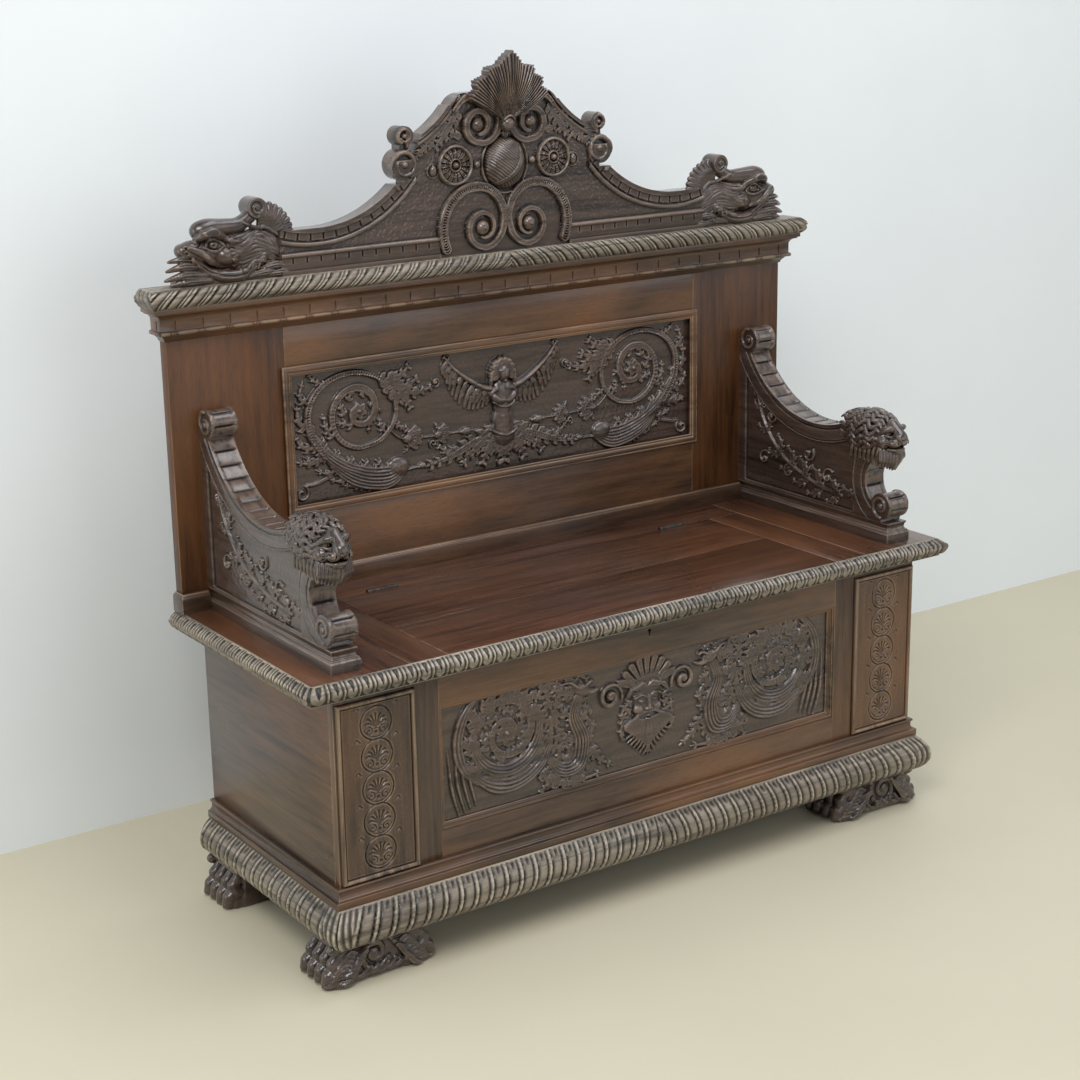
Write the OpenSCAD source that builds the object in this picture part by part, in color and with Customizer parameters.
// Carved hall bench: a chest whose seat lifts, with scroll arms, a panelled back and a carved crest

/* [Chest] */
// Width of the chest over its side boards
chest_w = 1250; // [1220:5:1280]
// Depth of the chest from its front face to its rear face
chest_d = 454; // [440:1:465]
// Height of the chest's frame and sides, from the base frame to the seat
chest_h = 363.5; // [350:0.5:380]
// Thickness of the front frame
front_t = 22; // [20:0.5:25]
// Thickness of the side boards
side_t = 20; // [18:0.5:23]
// Thickness of the chest's rear board
rear_t = 14; // [12:0.5:16]
// Thickness of the bottom board
bottom_t = 16; // [13:0.5:20]
// Depth of the rebates that take a neighbouring board
rebate = 8; // [6:0.5:10]
// Clearance around tongues, tenons and panels
fit = 0.2; // [0.1:0.05:0.3]

/* [Base] */
// Height of the feet
foot_h = 78; // [70:1:86]
// Length of a foot at its paws
foot_l = 216; // [205:1:225]
// Depth of a foot
foot_d = 100; // [90:1:106]
// How far a foot's paws reach past the chest's side
foot_out = 36; // [32:1:38]
// Height of the gadrooned base frame
gadroon_h = 66; // [60:1:72]
// How far the gadroons swell past the chest
base_out = 40; // [36:1:44]
// How far the top edge of the base frame stands past the chest
base_lip = 16; // [14:0.5:19]
// How far the base frame reaches in under the chest
base_in = 60; // [52:1:68]
// Length of one gadroon along the moulding
gadroon_pitch = 31.6; // [28:0.2:36]
// Depth of the cuts between gadroons
gadroon_cut = 6; // [4:0.5:8]
// Height of the cove moulding above the gadroons
cove_h = 33; // [28:1:36]
// How far the cove moulding stands past the chest at its foot
cove_out = 13; // [10:0.5:15]

/* [Front panel] */
// Half width of the sunk panel's opening in the front
panel_half = 430; // [415:1:440]
// Height of the top rail above the sunk panel
top_rail_h = 66; // [60:1:72]
// Height of the sunk panel's opening
panel_h = 218; // [205:1:230]
// Width of the moulding inside the opening
panel_mould = 11; // [8:0.5:14]
// Depth of the panel's ground behind the front face
panel_sink = 12; // [10:0.5:13]
// Thickness of the carved panels behind their ground
panel_t = 8; // [7:0.25:9]
// How deep a panel's edge sits in its groove
groove = 7; // [5:0.5:8]
// Width of the pilaster tablets
pilaster_w = 146; // [130:1:150]
// Height of the pilaster tablets
pilaster_h = 309; // [290:1:315]
// How far the tablets' frames stand proud of the front
pilaster_proud = 8; // [6:0.5:10]
// Height of the raised carving on the front panel
relief = 9; // [6:0.5:10]

/* [Seat] */
// Thickness of the seat boards
seat_t = 26; // [23:0.5:28]
// How far the seat boards reach past the chest at each side
seat_side = 43; // [38:1:47]
// How far the seat boards reach past the chest's front
seat_front = 16.5; // [14:0.5:19]
// Height of the seat's edge moulding
edge_h = 33; // [30:0.5:36]
// How far the edge moulding swells past the boards
edge_out = 17; // [14:0.5:19]
// Length of one leaf of the edge moulding
edge_pitch = 26.8; // [24:0.2:30]
// Depth of the cuts between the leaves
edge_cut = 3; // [2:0.5:4]
// Half width of the lid
lid_half = 417.5; // [405:0.5:425]
// Width of the fixed boards beside the lid
seat_stile = 72; // [66:1:78]
// Depth of the fixed rear rail of the seat
rear_rail_d = 114; // [105:1:120]
// Gap around the lid
lid_gap = 0.6; // [0.5:0.1:0.9]
// Where the joint between the lid's two boards lies, behind the lid's front
lid_joint = 184; // [170:1:200]
// How far that joint runs out of square over the lid's width
lid_skew = 30; // [0:1:36]

/* [Hinges and lock] */
// Distance of each hinge from the middle
hinge_x = 325; // [300:1:345]
// Length of a hinge
hinge_l = 62; // [54:1:70]
// Outer radius of a hinge's knuckles
knuckle_r = 4.5; // [4:0.1:5]
// Radius of a hinge pin
pin_r = 2; // [1.8:0.05:2.2]
// Running clearance on the hinge pins
pin_fit = 0.06; // [0.04:0.01:0.09]
// Thickness of a hinge leaf
leaf_t = 1.8; // [1.5:0.1:2]
// Height of a hinge leaf
leaf_h = 22; // [19:0.5:23]
// Width of the lock case
lock_w = 84; // [76:1:92]
// Height of the lock case
lock_h = 50; // [46:1:56]
// Depth of the lock case
lock_d = 20; // [19:0.5:23]
// Wall of the lock case
lock_wall = 1.5; // [1.2:0.1:2]
// Travel of the lock bolt
bolt_travel = 10; // [9:0.5:11]
// Radius of the keyhole
key_r = 3.2; // [2.8:0.1:3.6]

/* [Arms] */
// Distance of each arm's inner face from the middle
arm_x = 564; // [555:1:572]
// Width of the arm bases
arm_base_w = 56; // [53:1:60]
// Width of the scroll arms
arm_w = 48; // [44:0.5:51]
// Length of the arm bases from the back's face
arm_l = 434; // [425:1:440]
// Height of the arm bases
arm_base_h = 38; // [34:1:42]
// Radius of the long hollow in the arm's top
sweep_r = 225; // [215:1:232]
// Height of that hollow's centre above the seat
sweep_z = 419.5; // [412:0.5:426]
// Distance of that hollow's centre in front of the back
sweep_y = 224; // [218:1:230]
// Width of the raised border along the arm's edges
arm_band = 34; // [30:1:38]
// Depth of the sunk field on each face of an arm
arm_sink = 4; // [3:0.25:5]
// Radius of the rolls at the arm's top and foot
roll_r = 24.5; // [22:0.5:26]
// Height of the top roll's centre above the seat
roll_top_z = 327.5; // [322:0.5:332]
// Height of the foot roll's centre above the arm base
roll_foot_z = 30.5; // [28:0.5:33]
// Width of the rolls
roll_w = 54; // [50:1:57]
// Size of a lion head, as the radius of its skull
lion_r = 38; // [35:0.5:40]
// Height of a lion's chin above the seat
chin_z = 160; // [155:1:166]
// How far behind the arm's front its top stops, under a lion's mane
neck_in = 99; // [90:1:108]
// Radius of the hollow in the arm's front
cove_r = 50; // [46:0.5:53]
// Distance of that hollow's centre behind the arm's front
cove_in = 18; // [15:0.5:22]
// Height of that hollow's centre above the seat
cove_z = 111.5; // [108:0.5:115]

/* [Back] */
// Width of the back
back_w = 1332; // [1310:2:1350]
// Height of the back above the seat
back_h = 469.5; // [455:0.5:480]
// Thickness of the back's frame
back_t = 23; // [21:0.5:26]
// How far the back stands behind the chest's rear
back_over = 10; // [6:0.5:14]
// Half width of the opening for the carved panel
opening_half = 448; // [435:1:455]
// Height of that opening's foot above the seat
opening_z = 142; // [132:1:150]
// Height of that opening
opening_h = 250; // [238:1:258]
// Width of the moulding round the carved panel
bolection_w = 17; // [14:0.5:19]
// How far that moulding stands proud of the back
bolection_proud = 13; // [10:0.5:15]
// Height of the plinth along the back's foot
plinth_h = 34; // [30:1:38]
// How far the plinth stands proud of the back
plinth_out = 16; // [13:0.5:18]
// Height of the raised carving on the back panel
back_relief = 11; // [8:0.5:13]

/* [Cornice] */
// How far the cornice rim stands past the back
rim_out = 41; // [37:0.5:45]
// Height of the rim
rim_h = 31; // [28:0.5:34]
// Length of one twist of the rim
rim_pitch = 35.2; // [31:0.2:39]
// How far a twist leans over the rim's height, in shares of its length
rim_lean = 0.45; // [0.3:0.05:0.6]
// Depth of the cuts between the twists
rim_cut = 4; // [3:0.5:5]
// Height of the frieze and its small mouldings
frieze_h = 58.5; // [54:0.5:62]
// Distance between the slots cut in the frieze
slot_pitch = 50.25; // [46:0.25:54]
// Width of a slot
slot_w = 3.6; // [3:0.1:4.5]
// Height of a slot
slot_h = 15; // [12:0.5:17]
// Depth of a slot
slot_depth = 2.5; // [2:0.25:4]
// Height of the slots' foot above the frieze's foot
slot_rise = 21; // [20.5:0.1:21.5]
// How far the frieze stands past the back
frieze_out = 14; // [13:0.5:15]
// Radius of the hollow above the frieze
cap_r = 12; // [11:0.5:13]
// Height of the corona above that hollow
corona_h = 10; // [9:0.5:11]

/* [Crest] */
// Thickness of the crest board
crest_t = 26; // [23:0.5:29]
// Height of the crest board, without the shell
crest_h = 283; // [275:1:290]
// Height of the crest board at its outer ends
crest_low = 76; // [70:1:82]
// Distance of the crest's shoulders from the middle
shoulder_x = 209; // [203:1:215]
// Height of the shoulder rolls' centres above the cornice
shoulder_z = 168; // [162:1:173]
// Radius of the shoulder rolls
shoulder_r = 27; // [24:0.5:29]
// Reach of the crest board to each side
crest_half = 455; // [440:1:465]
// Radius of the long hollows between the shoulders and the dolphins
hollow_r = 230; // [222:1:238]
// Distance of those hollows' centres outside the shoulders
hollow_x = 176; // [170:1:182]
// Radius of the slopes between the shoulders and the top
slope_r = 217; // [210:1:224]
// Distance of the slopes' centres outside the shoulders
slope_x = 71; // [67:1:75]
// Height of the slopes' centres above the crest board
slope_z = 124; // [119:1:129]
// Distance of the arch scrolls' centres from the middle
arch_x = 48; // [45:0.5:50]
// Height of the arch scrolls' centres above the cornice
arch_z = 47; // [44:0.5:50]
// Height of the raised bands on the crest
crest_band = 7; // [5:0.5:9]
// Half width of the egg at the crest's middle
egg_r = 45; // [41:0.5:47]
// How far the egg's middle lies behind the board's face
egg_sunk = 12; // [8:0.5:16]
// Radius of the rosettes
rosette_r = 37; // [34:0.5:39]
// Height of the shell's tip above the cornice
shell_top = 355; // [345:1:360]
// Number of ribs on the shell
shell_ribs = 11; // [9:2:13]
// Height of the shell's foot above the cornice
shell_foot = 225; // [218:1:230]
// Half width of a rib at its tip
shell_rib = 7.5; // [6.5:0.1:8]
// Angle over which the shell spreads
shell_spread = 124; // [116:2:130]
// Angle at which the shell leans forward
shell_lean = 6; // [3:0.5:8]
// Distance of a dolphin head's fin from the middle
dolphin_x = 409; // [402:1:413]
// Length of a dolphin head from snout to fin
dolphin_l = 245; // [235:1:252]
// Height of a dolphin head
dolphin_h = 143; // [135:1:150]
// Thickness of a dolphin head's core
dolphin_t = 34; // [30:0.5:38]

/* [Hidden] */
$fn = 48;

// Levels, from the floor up
z_base = foot_h;
z_chest = z_base + gadroon_h;
z_seat = z_chest + chest_h + seat_t;
z_under = z_seat - seat_t;
z_back = z_seat + back_h;
z_rim = z_back + frieze_h;
z_crest = z_rim + rim_h;

// Lines across the depth, with the origin midway between the gadroons and the back
depth_all = base_out + chest_d + back_over;
y_front = -depth_all / 2 + base_out;
y_rear = y_front + chest_d;
y_back = depth_all / 2 - back_t;
y_end = depth_all / 2;
y_edge = y_front - seat_front;
y_rail = y_end - rear_rail_d;
x_side = chest_w / 2;
x_seat = x_side + seat_side;
x_stile = lid_half + seat_stile;
panel_z = z_under - top_rail_h - panel_h;
plate_t = seat_t - 0.4;

wood = "#3b271c";
wood_dark = "#2b1d16";
wood_red = "#5a3322";
wood_gilt = "#8a7048";
iron = "#4a4744";

// Points along an arc in degrees
function arc(c, r, a0, a1, n) =
    [for (i = [0 : n]) c + r * [cos(a0 + (a1 - a0) * i / n), sin(a0 + (a1 - a0) * i / n)]];

// Outline of a band that winds in from radius r0 to r1; flare opens its outer end
function wind(r0, r1, flare, f) = r0 + (r1 - r0) * f + flare * pow(1 - f, 6);
function spiral(r0, r1, w0, w1, a0, turn, n, flare = 0) = concat(
    [for (i = [0 : n]) let (f = i / n, a = a0 + turn * f) wind(r0, r1, flare, f) * [cos(a), sin(a)]],
    [for (i = [n : -1 : 0]) let (f = i / n, a = a0 + turn * f)
        (wind(r0, r1, flare, f) - w0 - (w1 - w0) * f) * [cos(a), sin(a)]]);

// Points of the right half of an outline, from the bottom up, closed by their mirror image
function both(p) = concat(p, [for (i = [len(p) - 1 : -1 : 0]) [-p[i][0], p[i][1]]]);

module mirrored() {
    children();
    mirror([1, 0, 0]) children();
}

// A section drawn with x forward from a face and y up, run along the X axis
module along_x(l) {
    rotate([90, 0, -90]) translate([0, 0, -l / 2]) linear_extrude(l) children();
}

// A section drawn with x and y, laid upright with its thickness towards the front
module upright(t) {
    rotate([90, 0, 0]) linear_extrude(t) children();
}

// Four mitred strips round an opening, standing proud towards the front
module mitred_frame(w, h, strip, proud) {
    rotate([90, 0, 0]) for (s = [0 : 3]) {
        l = s % 2 == 0 ? w : h;
        across = s % 2 == 0 ? h : w;
        rotate([0, 0, 90 * s]) translate([0, -across / 2, 0]) intersection() {
            rotate([90, 0, 90]) translate([0, 0, -l / 2]) linear_extrude(l) children();
            linear_extrude(proud) polygon([[-l / 2, 0], [l / 2, 0],
                [l / 2 - strip, strip], [-l / 2 + strip, strip]]);
        }
    }
}

// Lobed moulding along X between the front corners of a box, with its face towards -Y.
// section lists [how far out, height]; shape gives each lobe's columns as [place, depth of cut].
module lobed(x0, x1, mitre0, mitre1, back, section, pitch, cut, shape, slant) {
    rows = len(section);
    lobes = max(2, round((x1 - x0) / pitch));
    cols = lobes * len(shape);
    top = section[0][1];
    low = section[rows - 1][1];
    function at(t, out) = (x0 - mitre0 * out) + (x1 + mitre1 * out - x0 + mitre0 * out) * t;
    function lean(t) = slant * max(-1, min(1, (t - 0.5) * 12)) * min(1, t * 12, (1 - t) * 12);
    grid = [for (c = [0 : cols]) let (k = c % len(shape), t = (floor(c / len(shape)) + shape[k][0]) / lobes)
        for (r = [0 : rows - 1]) let (inner = r > 0 && r < rows - 1,
            out = section[r][0] - (inner ? cut * shape[k][1] : 0))
        [at(t, out) + lean(t) * (r / (rows - 1) - 0.5), -out, section[r][1]]];
    n = len(grid);
    pts = concat(grid, [[at(0, -back), back, top], [at(1, -back), back, top],
        [at(0, -back), back, low], [at(1, -back), back, low]]);
    polyhedron(pts, concat(
        [for (c = [0 : cols - 1], r = [0 : rows - 2]) [c * rows + r, c * rows + r + 1, (c + 1) * rows + r]],
        [for (c = [0 : cols - 1], r = [0 : rows - 2])
            [(c + 1) * rows + r, c * rows + r + 1, (c + 1) * rows + r + 1]],
        [concat([n + 1, n], [for (c = [0 : cols]) c * rows])],
        [concat([n + 2, n + 3], [for (c = [cols : -1 : 0]) c * rows + rows - 1])],
        [[n, n + 1, n + 3, n + 2]],
        [concat([n, n + 2], [for (r = [rows - 1 : -1 : 0]) r])],
        [concat([n + 3, n + 1], [for (r = [0 : rows - 1]) cols * rows + r])]), convexity = 8);
}

gadroon_section = [[base_lip, z_chest], [base_lip + 6, z_chest - 8], [base_out - 4, z_chest - 22],
    [base_out, z_chest - 40], [base_out - 6, z_base + 9], [base_out - 16, z_base]];
gadroon_shape = [[0, 1], [0.22, 0.3], [0.5, 0], [0.78, 0.3]];
edge_section = [[0.5, z_seat], [edge_out * 0.75, z_seat - 6], [edge_out, z_seat - edge_h * 0.42],
    [edge_out * 0.55, z_seat - edge_h + 6], [edge_out * 0.5, z_seat - edge_h]];
edge_shape = [[0, 0.2], [0.16, 1], [0.5, 0], [0.84, 1]];
rim_section = [[rim_out - 16, z_crest], [rim_out - 6, z_crest - 5], [rim_out, z_crest - 17],
    [rim_out - 3, z_rim + 6], [rim_out - 8, z_rim]];
rim_shape = [[0, 1], [0.25, 0.3], [0.5, 0], [0.75, 0.3]];

// A lobed moulding turned to run back along the chest's or cornice's right side
module lobed_side(x_face, y0, y1, back, section, pitch, cut, shape, slant) {
    translate([x_face, 0, 0]) rotate([0, 0, 90])
        lobed(y0, y1, 1, 0, back, section, pitch, cut, shape, slant);
}

module foot_outline() {
    difference() {
        union() {
            translate([-foot_l / 2 + 26, 0]) square([foot_l - 52, foot_h]);
            mirrored() translate([foot_l / 2 - 25, 33]) circle(22);
            mirrored() translate([foot_l / 2 - 18, 15]) circle(18);
            mirrored() translate([foot_l / 2 - 27, foot_h - 11]) circle(10);
            translate([-foot_l / 2 + 27, foot_h - 11]) square([foot_l - 54, 11]);
            translate([-foot_l / 2 + 18, 0]) square([foot_l - 36, 15]);
        }
        translate([-foot_l, -foot_l]) square([2 * foot_l, foot_l]);
    }
}

// A bracket foot with a scroll on its face and a paw of four toes at each end
module foot() {
    toe_pitch = (foot_d - 6) / 4;
    toe_r = toe_pitch * 0.56;
    intersection() {
        translate([-foot_l, -foot_d / 2 - relief, 0]) cube([2 * foot_l, foot_d + 2 * relief, foot_h]);
        union() {
            translate([0, foot_d / 2 - 3, 0]) upright(foot_d - 6) foot_outline();
            mirrored() for (i = [0 : 3]) translate([foot_l / 2 - toe_r, (i - 1.5) * toe_pitch, 0]) {
                translate([0, 0, toe_r * 0.8]) sphere(toe_r);
                translate([-9, 0, toe_r * 2.2]) sphere(toe_r);
            }
            translate([0, -foot_d / 2 + 3, foot_h * 0.55]) upright(5)
                polygon(spiral(40, 12, 9, 5, -150, 560, 40));
            translate([0, -foot_d / 2 + 4, foot_h * 0.55]) rotate([90, 0, 0]) cylinder(h = 5, r = 8);
            mirrored() translate([foot_l / 2 - 27, -foot_d / 2 + 3, foot_h - 11]) rotate([90, 0, 0])
                cylinder(h = 3, r = 7);
            mirrored() translate([58, -foot_d / 2 + 3, foot_h * 0.3]) rotate([90, 0, 0])
                cylinder(h = 3, r = 9);
        }
    }
}

module place_foot(side, rear) {
    x = x_side + foot_out - foot_l / 2;
    y = rear ? y_rear - foot_d / 2 : y_front + foot_d / 2;
    color(wood_dark) translate([side * x, y, 0]) rotate([0, 0, rear ? 180 : 0]) foot();
}

module foot_front_left() { place_foot(-1, false); }
module foot_front_right() { place_foot(1, false); }
module foot_rear_left() { place_foot(-1, true); }
module foot_rear_right() { place_foot(1, true); }

module base_front_moulding() {
    color(wood_gilt) translate([0, y_front, 0])
        lobed(-x_side, x_side, 1, 1, base_in, gadroon_section, gadroon_pitch, gadroon_cut, gadroon_shape, 0);
}

module base_right_moulding() {
    color(wood_gilt) lobed_side(x_side, y_front, y_rear, base_in, gadroon_section, gadroon_pitch,
        gadroon_cut, gadroon_shape, 0);
}

module base_left_moulding() { mirror([1, 0, 0]) base_right_moulding(); }

module base_rear_rail() {
    color(wood_dark) translate([-x_side + base_in, y_rear - side_t, z_base])
        cube([chest_w - 2 * base_in, side_t, gadroon_h]);
}

// Section of the cove: a bead at its foot, a hollow and a small round at the top
module cove_section() {
    difference() {
        square([cove_out, cove_h]);
        translate([cove_out, cove_h * 0.62]) circle(cove_out * 0.62);
        translate([cove_out * 0.38, cove_h * 0.62]) square([cove_out, cove_h]);
    }
    translate([cove_out * 0.38, cove_h - 3]) circle(3);
}

// A straight run of the cove on the chest's front
module cove_run(l) { translate([0, y_front, z_chest]) along_x(l) cove_section(); }

module cove_front() {
    color(wood) intersection() {
        cove_run(chest_w + 2 * cove_out + 10);
        translate([0, y_front, z_chest]) linear_extrude(cove_h) polygon([[-x_side, 0], [x_side, 0],
            [x_side + cove_out + 5, -cove_out - 5], [-x_side - cove_out - 5, -cove_out - 5]]);
    }
}

module cove_right() {
    run = chest_d + cove_out + 5;
    color(wood) intersection() {
        translate([x_side, y_rear - run / 2, z_chest]) rotate([0, 0, 90]) along_x(run) cove_section();
        linear_extrude(z_seat) polygon([[x_side, y_front], [x_side + cove_out + 5, y_front - cove_out - 5],
            [x_side + cove_out + 5, y_rear], [x_side, y_rear]]);
    }
}

module cove_left() { mirror([1, 0, 0]) cove_right(); }

module bottom_board() {
    color(wood) translate([-x_side + side_t, y_front + front_t, z_chest])
        cube([chest_w - 2 * side_t, chest_d - front_t - rear_t, bottom_t]);
}

tenon_l = 28;
tenon_t = 7;
stile_w = x_side - panel_half;

// A tenon on each end of a rail that spans the opening
module rail_tenons(half, y, z0, h, t, l, slack) {
    for (s = [-1, 1]) translate([s > 0 ? half - 1 : -half - l - slack, y - t / 2 - slack, z0 - slack])
        cube([l + 1 + slack, t + 2 * slack, h + 2 * slack]);
}

module front_tenons(slack) {
    y = y_front + front_t / 2 + 4;
    rail_tenons(panel_half, y, z_under - top_rail_h + 12, top_rail_h - 24, tenon_t, tenon_l, slack);
    rail_tenons(panel_half, y, z_chest + 14, panel_z - z_chest - 28, tenon_t, tenon_l, slack);
}

// The groove that takes the edge of a sunk panel
module panel_groove(half, z0, h, y) {
    translate([-half - groove - fit, y - fit / 2, z0 - groove - fit])
        cube([2 * (half + groove + fit), panel_t + fit, h + 2 * (groove + fit)]);
}

module front_groove() { panel_groove(panel_half, panel_z, panel_h, y_front + panel_sink); }

module keyhole(l) {
    translate([0, y_front - 1, z_seat - 50]) rotate([-90, 0, 0]) {
        cylinder(h = l, r = key_r);
        translate([-key_r * 0.45, 0, 0]) cube([key_r * 0.9, key_r * 3.2, l]);
    }
}

module front_top_rail() {
    color(wood) difference() {
        union() {
            translate([-panel_half, y_front, z_under - top_rail_h])
                cube([2 * panel_half, front_t, top_rail_h]);
            intersection() {
                front_tenons(0);
                translate([-chest_w, -chest_d, z_under - top_rail_h]) cube([2 * chest_w, chest_d, chest_h]);
            }
        }
        front_groove();
        keyhole(front_t + 2);
    }
}

module front_bottom_rail() {
    color(wood) difference() {
        union() {
            translate([-panel_half, y_front, z_chest]) cube([2 * panel_half, front_t, panel_z - z_chest]);
            intersection() {
                front_tenons(0);
                translate([-chest_w, -chest_d, 0]) cube([2 * chest_w, chest_d, panel_z]);
            }
        }
        front_groove();
    }
}

module front_stile_right() {
    color(wood) difference() {
        translate([panel_half, y_front, z_chest]) cube([stile_w, front_t, chest_h]);
        front_tenons(fit);
        front_groove();
        translate([x_side - side_t - fit, y_front + front_t - rebate - fit, z_chest - 1])
            cube([side_t + 1, front_t, chest_h + 2]);
    }
}

module front_stile_left() { mirror([1, 0, 0]) front_stile_right(); }

// Raised spiral stem with a bud at its middle
module scroll(r, t) {
    upright(t) polygon(spiral(r, r * 0.3, r * 0.16, r * 0.09, -120, 520, 44));
    rotate([90, 0, 0]) cylinder(h = t, r = r * 0.16);
}

// A leaf as the overlap of two circles, pointing along +X
module leaf_shape(l, w) {
    r = (l * l / 4 + w * w / 4) / w;
    intersection() {
        translate([l / 2, r - w / 2]) circle(r, $fn = 160);
        translate([l / 2, -r + w / 2]) circle(r, $fn = 160);
    }
}

module leaf(x, z, a, l, w, t) {
    translate([x, 0, z]) upright(t) rotate([0, 0, a]) leaf_shape(l, w);
}

// Grotesque mask: brow, cheeks, nose, beard locks and a crown of flutes
module mask() {
    s = panel_h / 218;
    scale(s) difference() {
        union() {
            for (i = [-4 : 4]) leaf(i * 2, 60, 90 - i * 17, 43 - abs(i) * 2, 11, relief);
            mirrored() {
                translate([20, 4, 40]) sphere(17);
                translate([22, 4, 12]) sphere(19);
                leaf(10, 0, -118, 78, 26, relief);
                leaf(24, 8, -80, 60, 20, relief);
                translate([70, 0, 50]) scroll(26, relief);
            }
            translate([0, 2, 26]) sphere(15);
            leaf(0, -6, -90, 84, 30, relief + 2);
        }
        translate([-200, 0, -200]) cube(400);
    }
}

module front_panel() {
    y = y_front + panel_sink;
    zc = panel_z + panel_h / 2;
    scroll_r = panel_h * 0.37;
    color(wood_dark) {
        translate([-panel_half - groove, y, panel_z - groove])
            cube([2 * (panel_half + groove), panel_t, panel_h + 2 * groove]);
        translate([0, y, zc - 8]) mask();
        mirrored() translate([panel_half * 0.68, y, zc + 12]) {
            scroll(scroll_r, relief);
            leaf(-scroll_r * 0.9, 0, 200, 60, 26, relief);
            leaf(-scroll_r * 0.8, -scroll_r * 0.6, 190, 90, 30, relief);
            leaf(-scroll_r * 0.7, scroll_r * 0.6, 170, 90, 28, relief);
            leaf(scroll_r * 0.2, -scroll_r, 10, 70, 18, relief);
        }
    }
}

module front_panel_moulding() {
    proud = panel_sink - 1.5;
    color(wood) translate([0, y_front + panel_sink, panel_z + panel_h / 2])
        mitred_frame(2 * panel_half, panel_h, panel_mould, proud) {
            square([panel_mould * 0.4, proud]);
            translate([panel_mould * 0.4, 0]) square([panel_mould * 0.6, proud * 0.3]);
            intersection() {
                translate([panel_mould * 0.4, 0]) circle(panel_mould * 0.6);
                square([panel_mould, proud]);
            }
        }
}

module pilaster() {
    strip = 12;
    rings = 5;
    ring_r = (pilaster_h - 2 * strip - 20) / rings / 2 + 2;
    color(wood) {
        translate([-pilaster_w / 2 + strip, -3, -pilaster_h / 2 + strip])
            cube([pilaster_w - 2 * strip, 3, pilaster_h - 2 * strip]);
        mitred_frame(pilaster_w, pilaster_h, strip, pilaster_proud) {
            square([strip, pilaster_proud * 0.45]);
            intersection() {
                translate([strip * 0.45, 0]) circle(strip * 0.45);
                square([strip, pilaster_proud]);
            }
        }
        for (i = [0 : rings - 1]) translate([0, -3, (i - (rings - 1) / 2) * (2 * ring_r - 4)]) upright(1.5)
            difference() {
                circle(ring_r);
                circle(ring_r - 3);
            }
    }
}

pilaster_x = x_side - 3 - pilaster_w / 2;
pilaster_z = z_chest + cove_h + 1 + pilaster_h / 2;
module pilaster_left() { translate([-pilaster_x, y_front, pilaster_z]) pilaster(); }
module pilaster_right() { translate([pilaster_x, y_front, pilaster_z]) pilaster(); }

module side_board_right() {
    color(wood) difference() {
        translate([x_side - side_t, y_front + front_t - rebate, z_chest])
            cube([side_t, chest_d - front_t + rebate, chest_h]);
        translate([x_side - side_t - 1, y_rear - rear_t - fit, z_chest - 1])
            cube([rebate + fit + 1, rear_t + 1, chest_h + 2]);
    }
}

module side_board_left() { mirror([1, 0, 0]) side_board_right(); }

module chest_rear_board() {
    half = x_side - side_t + rebate;
    color(wood) translate([-half, y_rear - rear_t, z_chest]) cube([2 * half, rear_t, chest_h]);
}

tongue = 7;
// A tongue or its groove along a seat joint; slack widens it for the groove
module seat_tongue(x, y0, y1, slack) {
    translate([x - tongue - slack, y0, z_under + seat_t * 0.35 - slack])
        cube([tongue + slack + 1, y1 - y0, seat_t * 0.3 + 2 * slack]);
}

module seat_end_right() {
    color(wood_red) union() {
        translate([x_stile, y_edge, z_under]) cube([x_seat - x_stile, y_end - y_edge, seat_t]);
        seat_tongue(x_stile, y_front + 10, y_end - 20, 0);
    }
}

module seat_end_left() { mirror([1, 0, 0]) seat_end_right(); }

module seat_stile_right() {
    color(wood_red) difference() {
        translate([lid_half + lid_gap, y_edge, z_under])
            cube([seat_stile - lid_gap, y_rail - y_edge, seat_t]);
        seat_tongue(x_stile, y_front + 10 - fit, y_end - 20 + fit, fit);
        // End grain meets the rail's tongue
        translate([0, y_rail - tongue - fit, z_under + seat_t * 0.35 - fit])
            cube([x_stile + 1, tongue + 1, seat_t * 0.3 + 2 * fit]);
    }
}

module seat_stile_left() { mirror([1, 0, 0]) seat_stile_right(); }

// Seats cut in the boards for the hinges; slack widens them round the metal
module hinge_seats(slack) {
    for (s = [-1, 1]) translate([s * hinge_x, y_rail, z_seat]) rotate([0, 90, 0])
        cylinder(h = hinge_l + 2 * slack, r = knuckle_r + slack, center = true);
}

leaf_gap = lid_gap / 2 + 0.1;
module seat_rear_rail() {
    color(wood_red) difference() {
        union() {
            translate([-x_stile, y_rail + lid_gap / 2, z_under])
                cube([2 * x_stile, rear_rail_d - lid_gap / 2, seat_t]);
            for (s = [-1, 1])
                translate([s > 0 ? lid_half + lid_gap + 3 : -x_stile + tongue + 1, y_rail - tongue,
                    z_under + seat_t * 0.35])
                    cube([seat_stile - lid_gap - tongue - 4, tongue + 1, seat_t * 0.3]);
            for (s = [-1, 1]) translate([s > 0 ? lid_half + lid_gap + 3 : -x_stile, y_rail, z_under])
                cube([seat_stile - lid_gap - 3, 1, seat_t]);
        }
        mirrored() seat_tongue(x_stile, y_rail - tongue - 1, y_end - 20 + fit, fit);
        hinge_seats(0.5);
        for (s = [-1, 1]) translate([s * hinge_x - hinge_l / 2 - 0.2, y_rail, z_seat - leaf_h - 0.2])
            cube([hinge_l + 0.4, leaf_gap + leaf_t + 0.2, leaf_h + 1]);
    }
}

module seat_edge_right() {
    color(wood_gilt) lobed_side(x_seat, y_edge, y_end, 0, edge_section, edge_pitch, edge_cut, edge_shape, 4);
}

module seat_edge_left() { mirror([1, 0, 0]) seat_edge_right(); }

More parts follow.
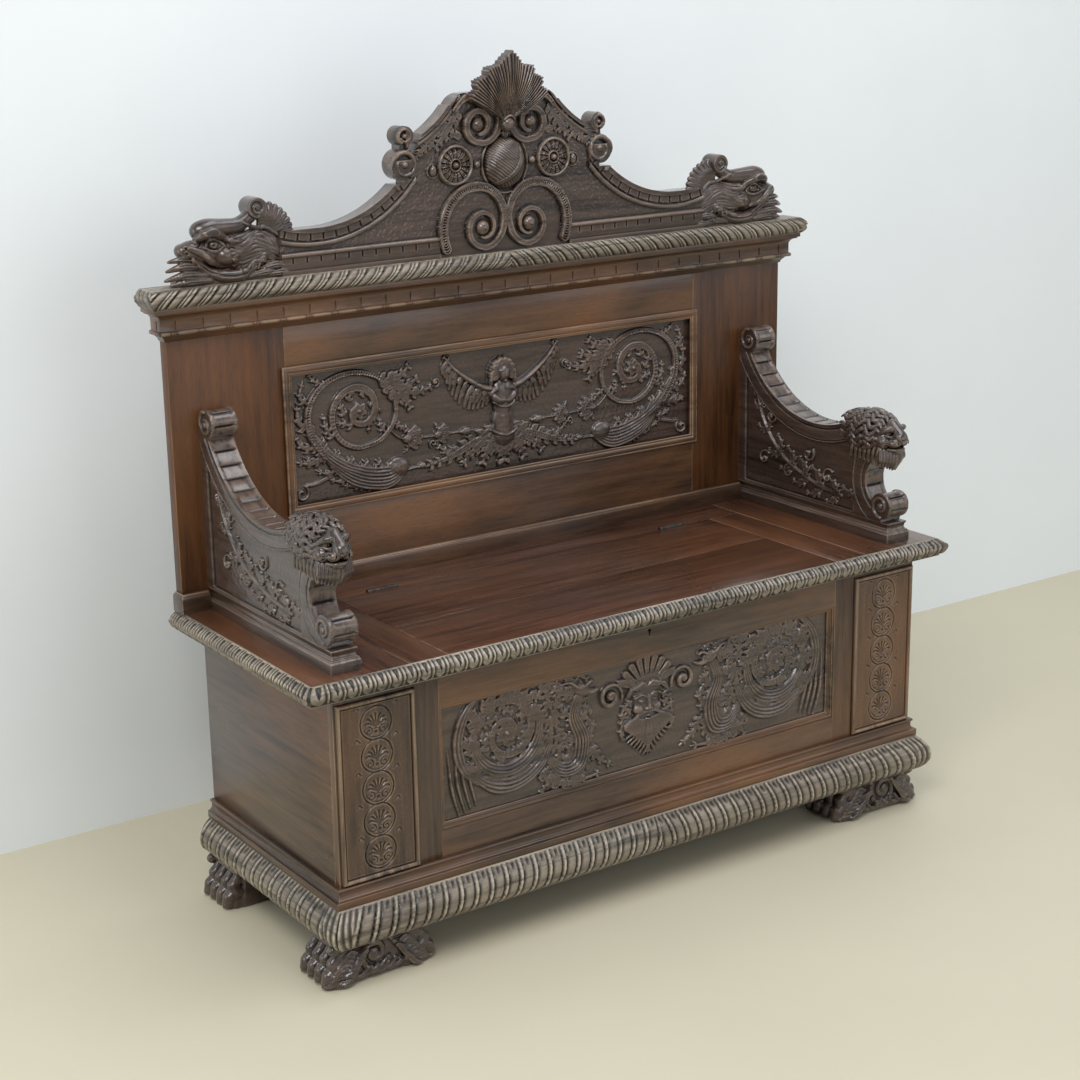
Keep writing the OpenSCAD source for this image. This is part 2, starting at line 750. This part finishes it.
module seat_edge_front_ends() {
    color(wood_gilt) mirrored() translate([0, y_edge, 0]) lobed(lid_half + lid_gap, x_seat, 0, 1, 0,
        edge_section, edge_pitch, edge_cut, edge_shape, 0);
}

// The plan of the lid's front board, whose rear edge runs a little out of square
module lid_plan(front) {
    y0 = y_edge + lid_joint - lid_skew / 2;
    y1 = y_edge + lid_joint + lid_skew / 2;
    if (front) polygon([[-lid_half, y_edge], [lid_half, y_edge], [lid_half, y1], [-lid_half, y0]]);
    else polygon([[-lid_half, y0], [lid_half, y1], [lid_half, y_rail - lid_gap / 2],
        [-lid_half, y_rail - lid_gap / 2]]);
}

module lid_front_board() {
    color(wood_red) difference() {
        translate([0, 0, z_seat - plate_t]) linear_extrude(plate_t) lid_plan(true);
        translate([-keeper_w / 2 - 0.1, keeper_y - keeper_d / 2 - 0.1, z_seat - plate_t - 1])
            cube([keeper_w + 0.2, keeper_d + 0.2, keeper_t + 1]);
    }
}

module lid_rear_board() {
    color(wood_red) difference() {
        translate([0, 0, z_seat - plate_t]) linear_extrude(plate_t) lid_plan(false);
        hinge_seats(0.5);
        for (s = [-1, 1]) translate([s * hinge_x - hinge_l / 2 - 0.2, y_rail - leaf_gap - leaf_t - 0.2,
            z_seat - leaf_h - 0.2]) cube([hinge_l + 0.4, leaf_t + leaf_gap + 1, leaf_h + 1]);
    }
}

module lid_edge_moulding() {
    color(wood_gilt) translate([0, y_edge, 0]) lobed(-lid_half, lid_half, 0, 0, 0, edge_section, edge_pitch,
        edge_cut, edge_shape, 0);
}

batten_w = 50;
batten_t = 18;
module lid_battens() {
    y0 = y_front + front_t + 14;
    color(wood) for (x = [-1, 1] * (lid_half - 90)) difference() {
        translate([x - batten_w / 2, y0, z_seat - plate_t - batten_t])
            cube([batten_w, y_rail - 36 - y0, batten_t]);
        for (e = [y0, y_rail - 36]) translate([x - batten_w, e, z_seat - plate_t - batten_t])
            rotate([45, 0, 0]) translate([0, -6, -6]) cube([2 * batten_w, 12, 12]);
    }
}

// Knuckles are five, taken in turn by the fixed and the moving leaf
knuckle_l = hinge_l / 5;
module knuckle(i, r) {
    translate([(i - 2) * knuckle_l, 0, 0]) rotate([0, 90, 0])
        cylinder(h = knuckle_l - 0.4, r = r, center = true);
}

module hinge_leaf(side, turns) {
    difference() {
        union() {
            translate([-hinge_l / 2, side > 0 ? leaf_gap : -leaf_gap - leaf_t, -leaf_h])
                cube([hinge_l, leaf_t, leaf_h - knuckle_r - 0.6]);
            for (i = turns) {
                knuckle(i, knuckle_r);
                translate([(i - 2.5) * knuckle_l + 0.2, side > 0 ? leaf_gap : -leaf_gap - leaf_t, 1 - leaf_h])
                    cube([knuckle_l - 0.4, leaf_t, leaf_h - 1]);
            }
        }
        rotate([0, 90, 0]) cylinder(h = hinge_l + 2, r = pin_r + pin_fit, center = true);
    }
}

module hinge_leaves_fixed() {
    color(iron) for (s = [-1, 1]) translate([s * hinge_x, y_rail, z_seat]) hinge_leaf(1, [0, 2, 4]);
}

module hinge_leaves_moving() {
    color(iron) for (s = [-1, 1]) translate([s * hinge_x, y_rail, z_seat]) hinge_leaf(-1, [1, 3]);
}

module hinge_pins() {
    color(iron) for (s = [-1, 1]) translate([s * hinge_x, y_rail, z_seat]) rotate([0, 90, 0])
        cylinder(h = hinge_l, r = pin_r, center = true);
}

lock_y = y_front + front_t;
lock_z = z_under - lock_h - 1;
bolt_h = 7;
bolt_d = 5;
bolt_l = 32;
bolt_z = lock_z + lock_h * 0.62;
keeper_w = 46;
keeper_d = 15;
keeper_t = 2;
keeper_y = lock_y + lock_d / 2 + 1;
eye_t = 3;
module lock_case() {
    color(iron) difference() {
        union() {
            difference() {
                translate([-lock_w / 2, lock_y, lock_z]) cube([lock_w, lock_d, lock_h]);
                translate([-lock_w / 2 + lock_wall, lock_y + lock_wall, lock_z + lock_wall])
                    cube([lock_w - 2 * lock_wall, lock_d - 2 * lock_wall, lock_h - 2 * lock_wall]);
            }
            for (x = [-bolt_travel - bolt_l + 6, -bolt_travel - 6])
                translate([x, lock_y + lock_wall / 2, bolt_z - bolt_h])
                    cube([3, lock_d - lock_wall, bolt_h * 3]);
        }
        translate([-lock_w / 2 + 3, keeper_y - bolt_d / 2 - 0.3, bolt_z - 0.3])
            cube([lock_w / 2 - 8, bolt_d + 0.6, bolt_h + 0.6]);
        translate([-5, lock_y + lock_wall, lock_z + lock_h - lock_wall - 1])
            cube([10, lock_d - 2 * lock_wall, lock_wall + 2]);
        keyhole(front_t + lock_wall + 3);
    }
}

module lock_bolt() {
    color(iron) translate([-bolt_travel / 2 - bolt_l, keeper_y - bolt_d / 2, bolt_z])
        cube([bolt_l, bolt_d, bolt_h]);
}

module lock_keeper() {
    drop = z_seat - plate_t - bolt_z + 4;
    color(iron) difference() {
        union() {
            translate([-keeper_w / 2, keeper_y - keeper_d / 2, z_seat - plate_t])
                cube([keeper_w, keeper_d, keeper_t]);
            translate([-eye_t / 2, keeper_y - bolt_d / 2 - 2, z_seat - plate_t - drop])
                cube([eye_t, bolt_d + 4, drop + 1]);
        }
        translate([-eye_t, keeper_y - bolt_d / 2 - 0.6, bolt_z - 0.8])
            cube([2 * eye_t, bolt_d + 1.2, bolt_h + 1.6]);
    }
}

// The arm's outline, with x as the distance in front of the back and y up from the seat.
// grow makes it larger all round, for the hollow in a lion head.
module arm_outline(grow) {
    difference() {
        union() {
            translate([0, arm_base_h]) square([arm_l - 22, chin_z - arm_base_h + grow]);
            translate([0, arm_base_h]) square([arm_l - neck_in + grow, sweep_z - arm_base_h]);
        }
        translate([sweep_y, sweep_z]) circle(sweep_r - grow, $fn = 120);
        translate([arm_l - cove_in, cove_z]) circle(cove_r - grow);
        translate([-1, roll_top_z + roll_r - 1]) square([sweep_y, sweep_z]);
        translate([roll_r, roll_top_z - 4]) square([sweep_y, sweep_z]);
    }
}

// The sunk field on the face of an arm, inside its border
module arm_field() {
    difference() {
        translate([arm_band * 0.65, arm_base_h]) square([arm_l - neck_in - arm_band * 0.65, sweep_z]);
        translate([sweep_y, sweep_z]) circle(sweep_r + arm_band, $fn = 120);
        translate([arm_l - cove_in, cove_z]) circle(cove_r + arm_band);
    }
}

// Turns an outline drawn forward from the back and up from the seat into a slab across the arm
module arm_slab(x0, w) {
    translate([x0, y_back, z_seat]) rotate([90, 0, -90]) mirror([0, 0, 1]) linear_extrude(w) children();
}

// A roll with a scroll cut on each of its ends
module roll(x, z, a) {
    arm_slab(arm_mid - roll_w / 2, roll_w) translate([x, z]) circle(roll_r);
    arm_slab(arm_mid - roll_w / 2 - 1, roll_w + 2) translate([x, z]) {
        polygon(spiral(roll_r - 0.5, 9, 5, 3, a, 480, 36));
        circle(5);
    }
}

arm_mid = arm_x + arm_base_w / 2;
module arm_right() {
    color(wood_dark) difference() {
        union() {
            difference() {
                arm_slab(arm_mid - arm_w / 2, arm_w) arm_outline(0);
                arm_slab(arm_mid - arm_w / 2 - 1, arm_sink + 1) arm_field();
                arm_slab(arm_mid + arm_w / 2 - arm_sink, arm_sink + 1) arm_field();
            }
            roll(roll_r + 3, roll_top_z, 90);
            roll(arm_l - roll_r, arm_base_h + roll_foot_z, -90);
        }
        translate([arm_x - 20, y_back, z_seat]) cube([arm_base_w + 40, back_t, sweep_z]);
        translate([arm_x - 20, y_back - arm_l - 20, z_seat - 1])
            cube([arm_base_w + 40, arm_l + 30, arm_base_h + 1]);
    }
}

module arm_left() { mirror([1, 0, 0]) arm_right(); }

// Moulded section of an arm base, with its face at a distance from the middle
function arm_base_points(face) = [[face, 0], [face, 18], [face - 2, 19], [face - 2, 22], [face - 5, 23],
    [face - 7, 27], [face - 6, 32], [face - 4, 35], [face - 4, arm_base_h]];

// The side and front sections cross, so that the moulding turns the corners in mitres
module arm_base_right() {
    color(wood_dark) intersection() {
        arm_slab(arm_x, arm_base_w)
            polygon(concat([[0, 0]], arm_base_points(arm_l), [[0, arm_base_h]]));
        translate([arm_mid, y_back, z_seat]) upright(arm_l + 1)
            polygon(both(arm_base_points(arm_base_w / 2)));
    }
}

module arm_base_left() { mirror([1, 0, 0]) arm_base_right(); }

// One rounded form of a lion's head, at a place and size given in shares of the skull's radius
module lump(x, y, z, size) { translate([x, y, z] * lion_r) sphere(size * lion_r); }

// A lion's head that looks forward; its mane sweeps back over the arm in locks
module lion() {
    lump(0, 0, 0.1, 1);
    lump(0, -0.75, -0.02, 0.62);
    lump(0, -1.2, -0.12, 0.5);
    lump(0, -1.5, 0.06, 0.3);
    lump(0, -1.1, -0.5, 0.4);
    lump(0, 0.06, 0.74, 0.55);
    lump(0, 0.9, 0.48, 0.6);
    lump(0, 1.64, 0.2, 0.5);
    mirrored() {
        lump(0.24, -1.28, -0.2, 0.34);
        lump(0.38, -0.66, 0.5, 0.3);
        lump(0.58, -0.55, -0.26, 0.46);
        lump(0.7, -0.2, 0.6, 0.42);
        lump(0.82, 0.16, 0.06, 0.4);
        lump(0.66, 0.1, -0.64, 0.46);
        lump(0.76, 0.8, 0.42, 0.44);
        lump(0.78, 0.84, -0.22, 0.42);
        lump(0.64, 0.7, -0.84, 0.4);
        lump(0.66, 1.52, 0.1, 0.4);
        lump(0.6, 1.54, -0.42, 0.36);
        lump(0.58, 2.16, -0.1, 0.3);
    }
}

lion_y = y_back - arm_l + lion_r * 1.37;
lion_z = z_seat + chin_z + lion_r;
module lion_head_right() {
    color(wood_dark) difference() {
        translate([arm_mid, lion_y, lion_z]) lion();
        arm_slab(arm_mid - arm_w / 2 - fit, arm_w + 2 * fit) arm_outline(fit);
    }
}

module lion_head_left() { mirror([1, 0, 0]) lion_head_right(); }

rail_tenon = 26;
// Tenons between the back's rails and stiles
module back_tenons(slack) {
    y = y_back + back_t / 2 + 3;
    top = back_h - opening_z - opening_h;
    rail_tenons(opening_half, y, z_seat + opening_z + opening_h + 12, top - 24, tenon_t, rail_tenon, slack);
    rail_tenons(opening_half, y, z_seat + 20, opening_z - 40, tenon_t, rail_tenon, slack);
}

back_ground = 7;
module back_groove() { panel_groove(opening_half, z_seat + opening_z, opening_h, y_back + back_ground); }

module back_stile_right() {
    color(wood) difference() {
        translate([opening_half, y_back, z_seat]) cube([back_w / 2 - opening_half, back_t, back_h]);
        back_tenons(fit);
        back_groove();
    }
}

module back_stile_left() { mirror([1, 0, 0]) back_stile_right(); }

module back_rail(z0, h) {
    color(wood) difference() {
        union() {
            translate([-opening_half, y_back, z0]) cube([2 * opening_half, back_t, h]);
            intersection() {
                back_tenons(0);
                translate([-back_w, y_back, z0]) cube([2 * back_w, back_t, h]);
            }
        }
        back_groove();
    }
}

module back_top_rail() { back_rail(z_seat + opening_z + opening_h, back_h - opening_z - opening_h); }
module back_bottom_rail() { back_rail(z_seat, opening_z); }

// Half-length winged figure rising from leaves, kept plain in the solids
module figure() {
    difference() {
        union() {
            translate([0, -3, 56]) sphere(20);
            mirrored() {
                leaf(14, 34, 36, 124, 40, back_relief);
                leaf(20, 20, 24, 96, 32, back_relief - 2);
                translate([14, 6, 18]) sphere(20);
                leaf(10, -58, -12, 120, 30, back_relief);
                leaf(6, -62, -40, 66, 28, back_relief);
            }
            translate([0, 0, -48]) upright(back_relief + 4) polygon([[-18, 0], [18, 0], [24, 50], [22, 78],
                [8, 90], [-8, 90], [-22, 78], [-24, 50]]);
            translate([0, -2, -36]) sphere(24);
            leaf(0, -50, -90, 46, 30, back_relief);
        }
        translate([-opening_half, 0, -opening_half]) cube(2 * opening_half);
    }
}

module back_panel() {
    y = y_back + back_ground;
    zc = z_seat + opening_z + opening_h / 2;
    scroll_r = opening_h * 0.31;
    color(wood_dark) {
        translate([-opening_half - groove, y, z_seat + opening_z - groove])
            cube([2 * (opening_half + groove), panel_t, opening_h + 2 * groove]);
        translate([0, y, zc]) figure();
        mirrored() translate([opening_half * 0.66, y, zc + 26]) {
            scroll(scroll_r, back_relief);
            leaf(-scroll_r * 0.8, scroll_r * 0.4, 190, 84, 30, back_relief);
            leaf(-scroll_r * 1.1, -scroll_r * 0.9, 150, 60, 26, back_relief);
            leaf(scroll_r * 0.7, -scroll_r * 1.35, 165, 130, 34, back_relief);
            leaf(-scroll_r * 1.7, -scroll_r * 0.75, 180, 46, 20, back_relief);
        }
    }
}

module back_panel_moulding() {
    over = bolection_w * 0.45;
    color(wood) {
        translate([0, y_back, z_seat + opening_z + opening_h / 2])
            mitred_frame(2 * (opening_half + over), opening_h + 2 * over, bolection_w, bolection_proud) {
                translate([bolection_w * 0.42, 0]) intersection() {
                    circle(bolection_w * 0.42);
                    translate([-bolection_w, 0]) square([2 * bolection_w, bolection_proud]);
                }
                square([bolection_w, bolection_proud * 0.4]);
            }
    }
}

// Section of the plinth: a flat face with a round top edge
module plinth_section(out) {
    translate([-1, 0]) square([out, plinth_h - 8]);
    translate([-1, 0]) square([out - 5, plinth_h]);
    translate([out - 7, plinth_h - 8]) circle(6);
}

// The plinth runs between the arms, and a short run with a return closes each outer end
module back_plinth() {
    inner = arm_x - fit;
    outer = arm_x + arm_base_w + fit;
    return_out = 8;
    color(wood) difference() {
        union() {
            translate([0, y_back, z_seat]) along_x(2 * inner) plinth_section(plinth_out);
            mirrored() intersection() {
                translate([0, y_back, z_seat]) along_x(2 * back_w) plinth_section_deep(plinth_out);
                translate([back_w / 2, y_end, z_seat]) upright(back_t + plinth_out)
                    plinth_section_deep(return_out);
                translate([outer, y_back - plinth_out, z_seat])
                    cube([back_w, back_t + plinth_out, plinth_h]);
            }
        }
        translate([-back_w / 2, y_back, z_seat]) cube([back_w, back_t + 1, back_h]);
    }
}

// The same section carried back over the boards behind it
module plinth_section_deep(out) {
    plinth_section(out);
    translate([-back_t * 4, 0]) square([back_t * 4, plinth_h]);
}

// Section of the cornice under its rim: small moulding, bead, frieze, cove and corona
function cornice_points(face) =
    let (f = face + frieze_out, top = frieze_h - corona_h)
    concat([[face + 2, 0], [face + 4, 5], [face + 9, 10], [face + 9, 12],
        [f + 3, 13], [f + 4, 16], [f + 3, 19], [f, 20], [f, top - cap_r]],
        arc([f + cap_r, top - cap_r], cap_r, 180, 90, 6),
        [[f + cap_r, top + 2], [f + cap_r + 4, top + 3], [f + cap_r + 4, frieze_h]]);

module cornice_frieze() {
    n = floor(back_w / 2 / slot_pitch);
    slot_z = z_back + slot_rise;
    color(wood) difference() {
        intersection() {
            translate([0, y_end, z_back]) along_x(back_w + 4 * rim_out)
                polygon(concat([[0, 0]], cornice_points(back_t), [[0, frieze_h]]));
            translate([0, y_end, z_back]) upright(back_t + rim_out) polygon(both(cornice_points(back_w / 2)));
        }
        for (i = [-n : n])
            translate([i * slot_pitch - slot_w / 2, y_back - frieze_out - 6, slot_z])
                cube([slot_w, 6 + slot_depth, slot_h]);
        for (s = [-1, 1])
            translate([s * (back_w / 2 + frieze_out) - slot_depth, y_back - 2, slot_z])
                cube([2 * slot_depth, slot_w, slot_h]);
    }
}

module cornice_rim() {
    color(wood_gilt) {
        translate([0, y_back, 0])
            lobed(-back_w / 2, back_w / 2, 1, 1, back_t, rim_section, rim_pitch, rim_cut, rim_shape,
                rim_pitch * rim_lean);
        mirrored()
            lobed_side(back_w / 2, y_back, y_end, back_t, rim_section, rim_pitch, rim_cut, rim_shape, 0);
    }
}

// Half of the crest board's outline, right of the middle; inset draws it in at its edges
module crest_half_outline(inset) {
    top_r = 38;
    difference() {
        union() {
            square([crest_half, crest_low - inset + 60]);
            square([shoulder_x, crest_h - top_r / 2]);
            square([top_r * 2.1, crest_h - inset]);
            translate([top_r * 2.1, crest_h - top_r]) circle(top_r - inset);
        }
        translate([shoulder_x + slope_x, crest_h + slope_z]) circle(slope_r + inset, $fn = 120);
        translate([shoulder_x + hollow_x, crest_low + hollow_r]) circle(hollow_r + inset, $fn = 120);
        translate([shoulder_x + hollow_x, crest_low - inset]) square([crest_half, 200]);
        translate([shoulder_x - inset, shoulder_z - 22]) square([crest_half, 200]);
    }
}

module crest_outline(inset) { mirrored() crest_half_outline(inset); }

// Keeps a flat shape above the crest's foot
module above_foot() {
    intersection() {
        children();
        translate([-crest_half, 0]) square([2 * crest_half, 400]);
    }
}

// Raised double scroll that stands on the cornice
module crest_arch() {
    mirrored() translate([arch_x, arch_z]) {
        polygon(spiral(54, 24, 11, 7, -24, 560, 56, 54));
        circle(11);
    }
}

module rosette(t) {
    rotate([90, 0, 0]) {
        difference() {
            cylinder(h = t, r = rosette_r);
            translate([0, 0, t - 3]) cylinder(h = 4, r = rosette_r - 6);
        }
        for (a = [0 : 30 : 330]) rotate([0, 0, a])
            translate([rosette_r * 0.5, 0, t - 3]) sphere(rosette_r * 0.15);
        translate([0, 0, t - 2]) sphere(rosette_r * 0.2);
    }
}

module egg() {
    tall = 1.1;
    rotate_extrude() polygon(concat([[0, -egg_r * tall]], [for (i = [1 : 19]) let (a = -90 + 9 * i)
        [egg_r * cos(a), egg_r * tall * sin(a)]], [[0, egg_r * tall]]));
}

crest_y = y_end - 14;
crest_face = crest_y - crest_t;
module crest_board() {
    mid_z = 157;
    top_z = 227;
    color(wood_dark) translate([0, crest_face, z_crest]) {
        translate([0, crest_t, 0]) upright(crest_t) {
            crest_outline(0);
            mirrored() translate([shoulder_x, shoulder_z]) circle(shoulder_r);
            mirrored() translate([shoulder_x - 2, shoulder_z + shoulder_r + 22]) circle(17);
            mirrored() translate([shoulder_x - 16, shoulder_z]) square([16, shoulder_r + 24]);
        }
        // Fillets that follow the edge, with a sunk band between them
        upright(crest_band) difference() {
            crest_outline(0);
            crest_outline(6);
        }
        upright(crest_band * 0.7) difference() {
            crest_outline(26);
            crest_outline(31);
        }
        upright(crest_band + 3) above_foot() crest_arch();
        mirrored() {
            translate([shoulder_x, 0, shoulder_z]) upright(crest_band + 2)
                polygon(spiral(shoulder_r, 12, 7, 4, 90, 500, 40));
            translate([shoulder_x, 0, shoulder_z]) upright(crest_band + 4) circle(7);
            translate([56, 0, top_z]) upright(crest_band + 4)
                polygon(spiral(40, 20, 9, 6, 115, -520, 44, 14));
            translate([56, 0, top_z]) upright(crest_band + 6) circle(11);
            translate([105, 0, mid_z]) rosette(crest_band + 3);
            leaf(162, mid_z - 8, 90, 22, 13, crest_band);
            leaf(126, mid_z + 50, 40, 44, 18, crest_band);
            leaf(166, mid_z + 34, 20, 34, 15, crest_band - 1);
        }
        intersection() {
            translate([0, egg_sunk, mid_z]) egg();
            translate([-egg_r * 2, -egg_r * 2, mid_z - egg_r * 2])
                cube([egg_r * 4, egg_r * 2 + 1, egg_r * 4]);
        }
    }
}

function rib_angle(i) = shell_spread * (i / (shell_ribs - 1) - 0.5);
function rib_length(i) =
    (shell_top - shell_foot) * (0.68 + 0.32 * pow(cos(rib_angle(i) * 1.2), 2)) - shell_rib;

// Shell of ribs that widen as they spread, on a scalloped plate held off the crest by a stub
module crest_shell() {
    plate = 9;
    start = 26;
    hub = 16;
    y = crest_face - crest_band - 10;
    color(wood_dark) {
        translate([0, y, z_crest + shell_foot]) rotate([shell_lean, 0, 0]) {
            translate([0, plate / 2, 0]) upright(plate) {
                for (i = [0 : shell_ribs - 1]) rotate(-rib_angle(i)) {
                    polygon([[-2, 0], [2, 0], [shell_rib + 1, rib_length(i)],
                        [-shell_rib - 1, rib_length(i)]]);
                    translate([0, rib_length(i)]) circle(shell_rib);
                }
                circle(hub);
            }
            for (i = [0 : shell_ribs - 1]) rotate([0, rib_angle(i), 0]) translate([0, -plate / 2, start])
                cylinder(h = rib_length(i) - start, r1 = 2.4, r2 = shell_rib - 2.6);
            for (i = [0 : shell_ribs - 1]) rotate([0, rib_angle(i), 0])
                translate([0, -plate / 2, rib_length(i)]) sphere(shell_rib - 1.8);
        }
        translate([0, crest_face, z_crest + shell_foot]) rotate([90, 0, 0])
            cylinder(h = crest_face - y, r = hub * 0.7);
    }
}

// Profile of a dolphin head, snout towards +X, standing on the cornice
module dolphin_profile(l, h) {
    difference() {
        union() {
            translate([l * 0.08, 0]) square([l * 0.86, h * 0.3]);
            translate([l * 0.22, h * 0.28]) circle(h * 0.26);
            translate([l * 0.42, h * 0.43]) circle(h * 0.34);
            translate([l * 0.66, h * 0.42]) circle(h * 0.29);
            translate([l * 0.55, h * 0.42]) square([l * 0.15, h * 0.29]);
            translate([l * 0.86, h * 0.36]) circle(h * 0.15);
            translate([l * 0.93, h * 0.45]) circle(h * 0.075);
            translate([l * 0.3, h * 0.55]) square([l * 0.14, h * 0.34]);
            translate([l * 0.37, h * 0.88]) circle(h * 0.115);
            for (i = [0 : 6]) translate([l * 0.36, h * 0.5]) rotate(98 + i * 13)
                translate([-6, 0]) leaf_shape(h * 0.44 + i * h * 0.035 + 6, 15);
            translate([l * 0.8, h * 0.1]) rotate(-2) leaf_shape(l * 0.25, 22);
            translate([l * 0.78, h * 0.2]) rotate(12) leaf_shape(l * 0.22, 18);
            translate([l * 0.2, h * 0.1]) rotate(176) leaf_shape(l * 0.2, 20);
        }
        translate([-l, -l]) square([3 * l, l]);
    }
}

module dolphin() {
    l = dolphin_l;
    h = dolphin_h;
    face = -dolphin_t;
    difference() {
        union() {
            upright(dolphin_t) dolphin_profile(l, h);
            translate([l * 0.37, face, h * 0.88]) rotate([90, 0, 0]) cylinder(h = 6, r = h * 0.1);
            translate([l * 0.37, face, h * 0.88]) rotate([90, 0, 0]) cylinder(h = 9, r = h * 0.045);
            translate([l * 0.93, face, h * 0.45]) rotate([90, 0, 0]) cylinder(h = 4, r = h * 0.065);
            translate([l * 0.66, face + 8, h * 0.52]) sphere(h * 0.13);
            translate([l * 0.58, face + 12, h * 0.42]) sphere(h * 0.2);
            translate([l * 0.4, face + 12, h * 0.36]) sphere(h * 0.2);
            translate([l * 0.22, face + 12, h * 0.22]) sphere(h * 0.16);
            translate([l * 0.68, face, h * 0.42]) upright(5) difference() {
                circle(h * 0.29);
                circle(h * 0.22);
                translate([-h, -h * 0.1]) square([2 * h, h]);
            }
        }
        translate([-l, -l, -l]) cube([3 * l, 2 * l, l]);
        translate([-l, 0, -l]) cube([3 * l, l, 3 * l]);
    }
}

module dolphin_right() {
    color(wood_dark) difference() {
        translate([dolphin_x, y_end - 6, z_crest]) dolphin();
        // Seat over the end of the crest board
        translate([0, crest_face - crest_band - fit, z_crest - 1])
            cube([crest_half + fit, crest_t + crest_band + 2 * fit, crest_low + 1 + fit]);
    }
}

module dolphin_left() { mirror([1, 0, 0]) dolphin_right(); }

foot_front_left();
foot_front_right();
foot_rear_left();
foot_rear_right();
base_front_moulding();
base_left_moulding();
base_right_moulding();
base_rear_rail();
cove_front();
cove_left();
cove_right();
bottom_board();
front_top_rail();
front_bottom_rail();
front_stile_left();
front_stile_right();
front_panel();
front_panel_moulding();
pilaster_left();
pilaster_right();
side_board_left();
side_board_right();
chest_rear_board();
seat_end_left();
seat_end_right();
seat_stile_left();
seat_stile_right();
seat_rear_rail();
seat_edge_left();
seat_edge_right();
seat_edge_front_ends();
lid_front_board();
lid_rear_board();
lid_edge_moulding();
lid_battens();
hinge_leaves_fixed();
hinge_pins();
hinge_leaves_moving();
lock_case();
lock_bolt();
lock_keeper();
arm_left();
arm_right();
arm_base_left();
arm_base_right();
lion_head_left();
lion_head_right();
back_stile_left();
back_stile_right();
back_top_rail();
back_bottom_rail();
back_panel();
back_panel_moulding();
back_plinth();
cornice_frieze();
cornice_rim();
crest_board();
crest_shell();
dolphin_left();
dolphin_right();
